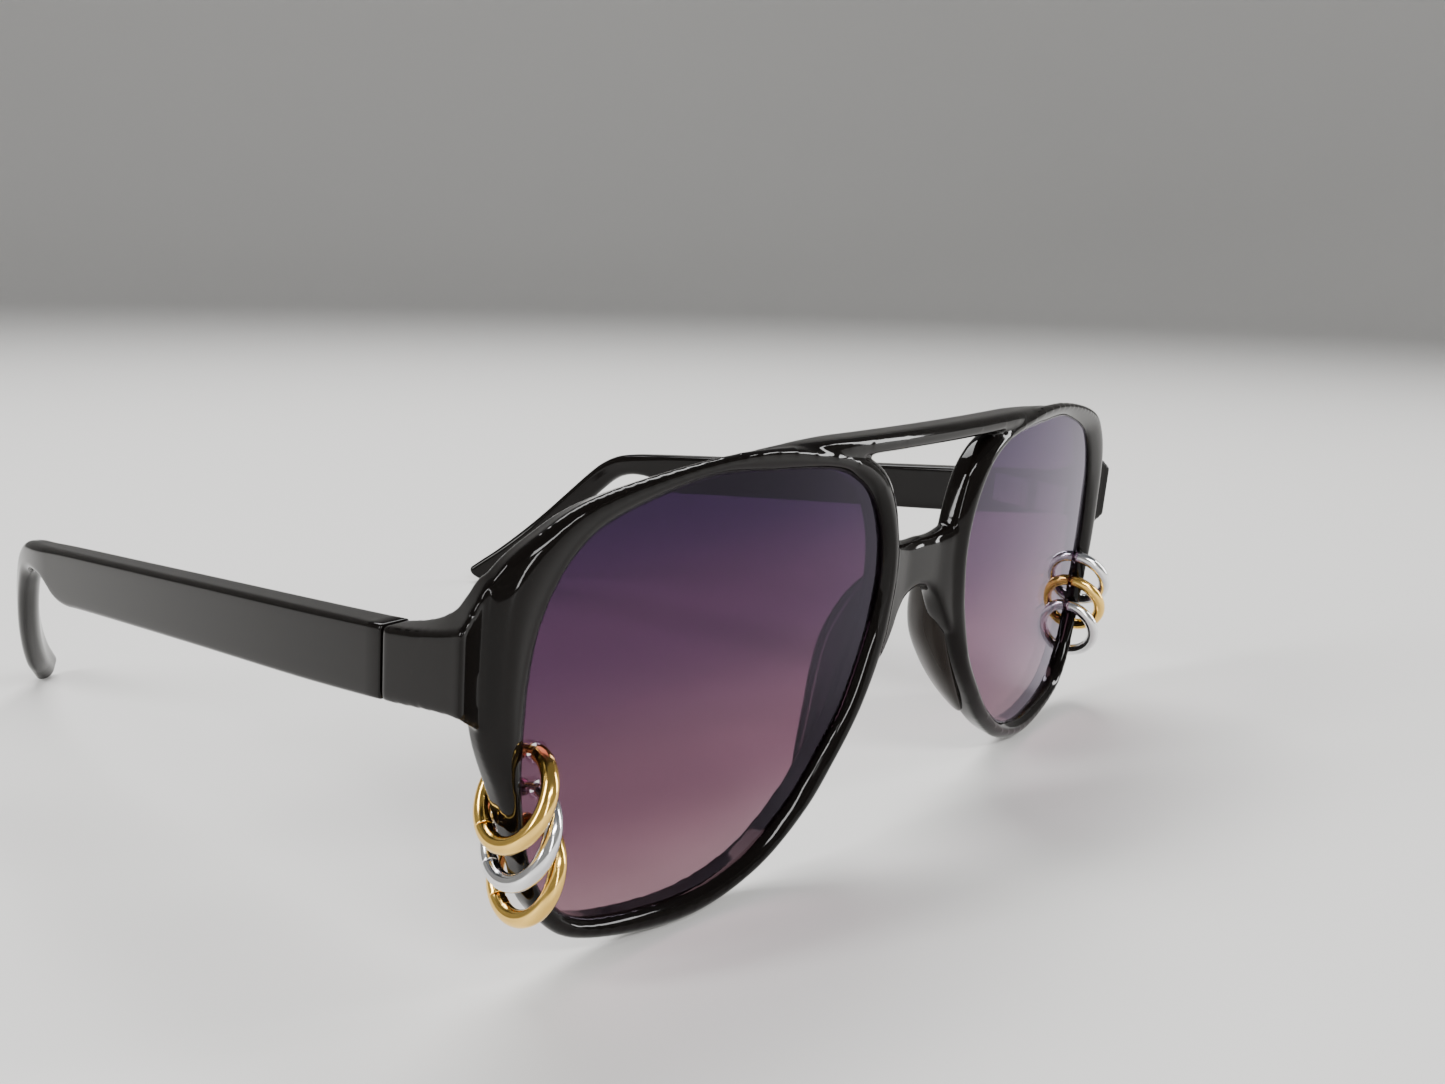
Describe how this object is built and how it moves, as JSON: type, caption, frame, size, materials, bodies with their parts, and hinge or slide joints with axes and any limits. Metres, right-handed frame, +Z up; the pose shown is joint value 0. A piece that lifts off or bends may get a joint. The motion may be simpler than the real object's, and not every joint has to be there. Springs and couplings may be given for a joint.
{
  "type": "sunglasses",
  "caption": "Pilot-style sunglasses with gradient lenses, folding temples, and hinged metal hoops hooked through each lens and around its rim.",
  "frame": {"origin": "middle of the footprint, on the surface that the open sunglasses stand on", "axes": "+X towards the wearer's left, +Y from the front towards the temple tips, +Z up"},
  "size_m": [0.1468, 0.1505, 0.055],
  "materials": {
    "frame_black": "polished black acetate",
    "pad_black": "polished black acetate, slightly softer gloss",
    "temple_black": "polished black acetate with fine handling marks",
    "lens_violet": "clear tinted plastic, dark violet above fading to pinkish mauve",
    "hinge_steel": "stamped nickel-silver",
    "screw_steel": "turned steel",
    "core_wire": "drawn nickel-silver wire",
    "hoop_gold": "polished gold plate",
    "hoop_silver": "polished silver plate"
  },
  "bodies": {
    "front": {"front_frame": "frame_black", "nose_pad_left": "pad_black", "nose_pad_right": "pad_black", "lens_left": "lens_violet", "lens_right": "lens_violet", "front_hinge_leaf_left": "hinge_steel", "front_hinge_leaf_right": "hinge_steel", "hinge_screw_left": "screw_steel", "hinge_screw_right": "screw_steel"},
    "temple_left": {"temple_left": "temple_black", "temple_hinge_leaf_left": "hinge_steel", "temple_core_left": "core_wire"},
    "temple_right": {"temple_right": "temple_black", "temple_hinge_leaf_right": "hinge_steel", "temple_core_right": "core_wire"},
    "upper_hoop_left": {"upper_hoop_left": "hoop_silver", "upper_hoop_pin_left": "hoop_silver"},
    "upper_hoop_arm_left": {"upper_hoop_arm_left": "hoop_silver"},
    "middle_hoop_left": {"middle_hoop_left": "hoop_gold", "middle_hoop_pin_left": "hoop_gold"},
    "middle_hoop_arm_left": {"middle_hoop_arm_left": "hoop_gold"},
    "lower_hoop_left": {"lower_hoop_left": "hoop_silver", "lower_hoop_pin_left": "hoop_silver"},
    "lower_hoop_arm_left": {"lower_hoop_arm_left": "hoop_silver"},
    "upper_hoop_right": {"upper_hoop_right": "hoop_gold", "upper_hoop_pin_right": "hoop_gold"},
    "upper_hoop_arm_right": {"upper_hoop_arm_right": "hoop_gold"},
    "middle_hoop_right": {"middle_hoop_right": "hoop_silver", "middle_hoop_pin_right": "hoop_silver"},
    "middle_hoop_arm_right": {"middle_hoop_arm_right": "hoop_silver"},
    "lower_hoop_right": {"lower_hoop_right": "hoop_gold", "lower_hoop_pin_right": "hoop_gold"},
    "lower_hoop_arm_right": {"lower_hoop_arm_right": "hoop_gold"}
  },
  "joints": [
    {"name": "temple_fold_left", "type": "hinge", "parent": "front", "child": "temple_left", "pos_m": [0.06795, -0.05389, 0.03469], "axis": [0, -0.068, 0.9977], "range_deg": [0, 85]},
    {"name": "temple_fold_right", "type": "hinge", "parent": "front", "child": "temple_right", "pos_m": [-0.06795, -0.05389, 0.03469], "axis": [0, 0.068, -0.9977], "range_deg": [0, 76]},
    {"name": "upper_hoop_swing_left", "type": "hinge", "parent": "front", "child": "upper_hoop_left", "pos_m": [0.06315, -0.0649, 0.02582], "axis": [0.1887, -0.9798, -0.0668], "range_deg": [-0.8, 2.5]},
    {"name": "upper_hoop_open_left", "type": "hinge", "parent": "upper_hoop_left", "child": "upper_hoop_arm_left", "pos_m": [0.06758, -0.06288, 0.01759], "axis": [-0.8586, -0.1335, -0.495], "range_deg": [0, 40]},
    {"name": "middle_hoop_swing_left", "type": "hinge", "parent": "front", "child": "middle_hoop_left", "pos_m": [0.0626, -0.06472, 0.02162], "axis": [0.1871, -0.9801, -0.0668], "range_deg": [-0.8, 2.5]},
    {"name": "middle_hoop_open_left", "type": "hinge", "parent": "middle_hoop_left", "child": "middle_hoop_arm_left", "pos_m": [0.06667, -0.06276, 0.01319], "axis": [-0.8785, -0.14, -0.4568], "range_deg": [0, 40]},
    {"name": "lower_hoop_swing_left", "type": "hinge", "parent": "front", "child": "lower_hoop_left", "pos_m": [0.0619, -0.06457, 0.01742], "axis": [0.185, -0.9805, -0.0668], "range_deg": [-0.8, 2.5]},
    {"name": "lower_hoop_open_left", "type": "hinge", "parent": "lower_hoop_left", "child": "lower_hoop_arm_left", "pos_m": [0.06527, -0.0622, 0.00879], "axis": [-0.9098, -0.134, -0.3927], "range_deg": [0, 40]},
    {"name": "upper_hoop_swing_right", "type": "hinge", "parent": "front", "child": "upper_hoop_right", "pos_m": [-0.06315, -0.0649, 0.02582], "axis": [0.1887, 0.9798, 0.0668], "range_deg": [-0.8, 2.5]},
    {"name": "upper_hoop_open_right", "type": "hinge", "parent": "upper_hoop_right", "child": "upper_hoop_arm_right", "pos_m": [-0.06758, -0.06288, 0.01759], "axis": [-0.8586, 0.1335, 0.495], "range_deg": [0, 40]},
    {"name": "middle_hoop_swing_right", "type": "hinge", "parent": "front", "child": "middle_hoop_right", "pos_m": [-0.0626, -0.06472, 0.02162], "axis": [0.1871, 0.9801, 0.0668], "range_deg": [-0.8, 2.5]},
    {"name": "middle_hoop_open_right", "type": "hinge", "parent": "middle_hoop_right", "child": "middle_hoop_arm_right", "pos_m": [-0.06667, -0.06276, 0.01319], "axis": [-0.8785, 0.14, 0.4568], "range_deg": [0, 40]},
    {"name": "lower_hoop_swing_right", "type": "hinge", "parent": "front", "child": "lower_hoop_right", "pos_m": [-0.0619, -0.06457, 0.01742], "axis": [0.185, 0.9805, 0.0668], "range_deg": [-0.8, 2.5]},
    {"name": "lower_hoop_open_right", "type": "hinge", "parent": "lower_hoop_right", "child": "lower_hoop_arm_right", "pos_m": [-0.06527, -0.0622, 0.00879], "axis": [-0.9098, 0.134, 0.3927], "range_deg": [0, 40]}
  ]
}
